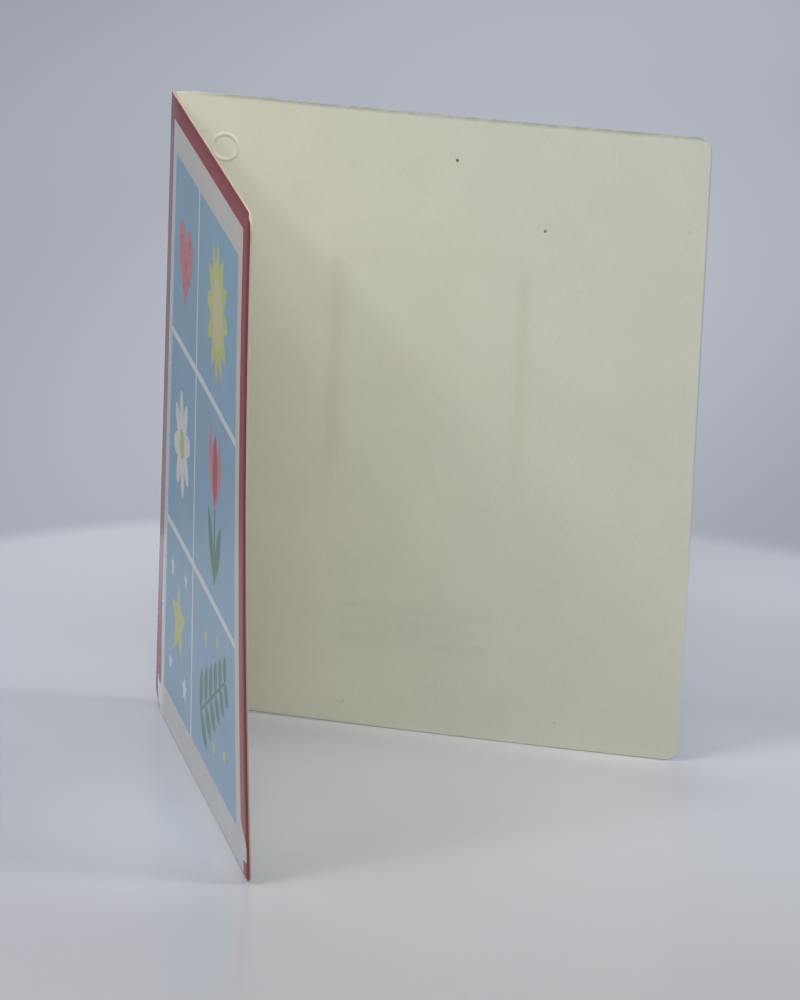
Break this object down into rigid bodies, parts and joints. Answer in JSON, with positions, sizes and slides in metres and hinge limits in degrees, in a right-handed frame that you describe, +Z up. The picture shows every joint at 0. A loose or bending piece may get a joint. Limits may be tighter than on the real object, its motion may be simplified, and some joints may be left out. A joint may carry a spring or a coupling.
{
  "type": "greeting card",
  "caption": "Creased card with rounded free corners, standing open like a book on its bottom edges, with a small raised ring pressed near the fold.",
  "frame": {"origin": "foot of the fold, at the middle of the sheet's thickness, on the surface that the card stands on", "axes": "+X from the fold along the back panel to its free edge, +Y out through the back of the back panel, +Z up the fold; the front panel swings from the fold towards -Y"},
  "size_m": [0.1197, 0.1117, 0.14],
  "materials": {
    "card_stock": "uncoated ivory inside, smooth printed outside"
  },
  "bodies": {
    "root": {"folded_card": "card_stock"}
  },
  "joints": []
}
